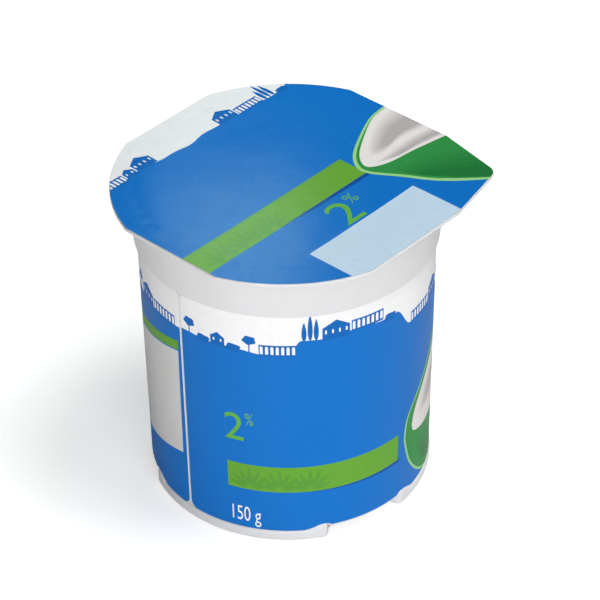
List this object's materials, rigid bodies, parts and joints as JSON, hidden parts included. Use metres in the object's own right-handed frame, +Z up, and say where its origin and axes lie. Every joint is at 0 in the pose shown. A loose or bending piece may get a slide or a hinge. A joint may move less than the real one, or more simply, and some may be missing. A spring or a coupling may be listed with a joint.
{
  "type": "yogurt pot",
  "caption": "Sealed single-serve yogurt pot: tapered white cup with a printed wrap label, a three-lug foot and a foil lid with a pull tab.",
  "frame": {"origin": "centre of the base, on the surface the pot stands on", "axes": "+Z up; the lid's pull tab points to +X -Y; the lid print reads along +X with its lower edge towards -Y"},
  "size_m": [0.0632, 0.0632, 0.0667],
  "materials": {
    "cup": "smooth white plastic, satin gloss",
    "label": "coated printed paper, blue with white, greens and pale grey",
    "lid": "lacquered printed foil, blue with white, greens and pale blue"
  },
  "bodies": {
    "root": {"cup": "cup", "label": "label", "lid": "lid"}
  },
  "joints": []
}
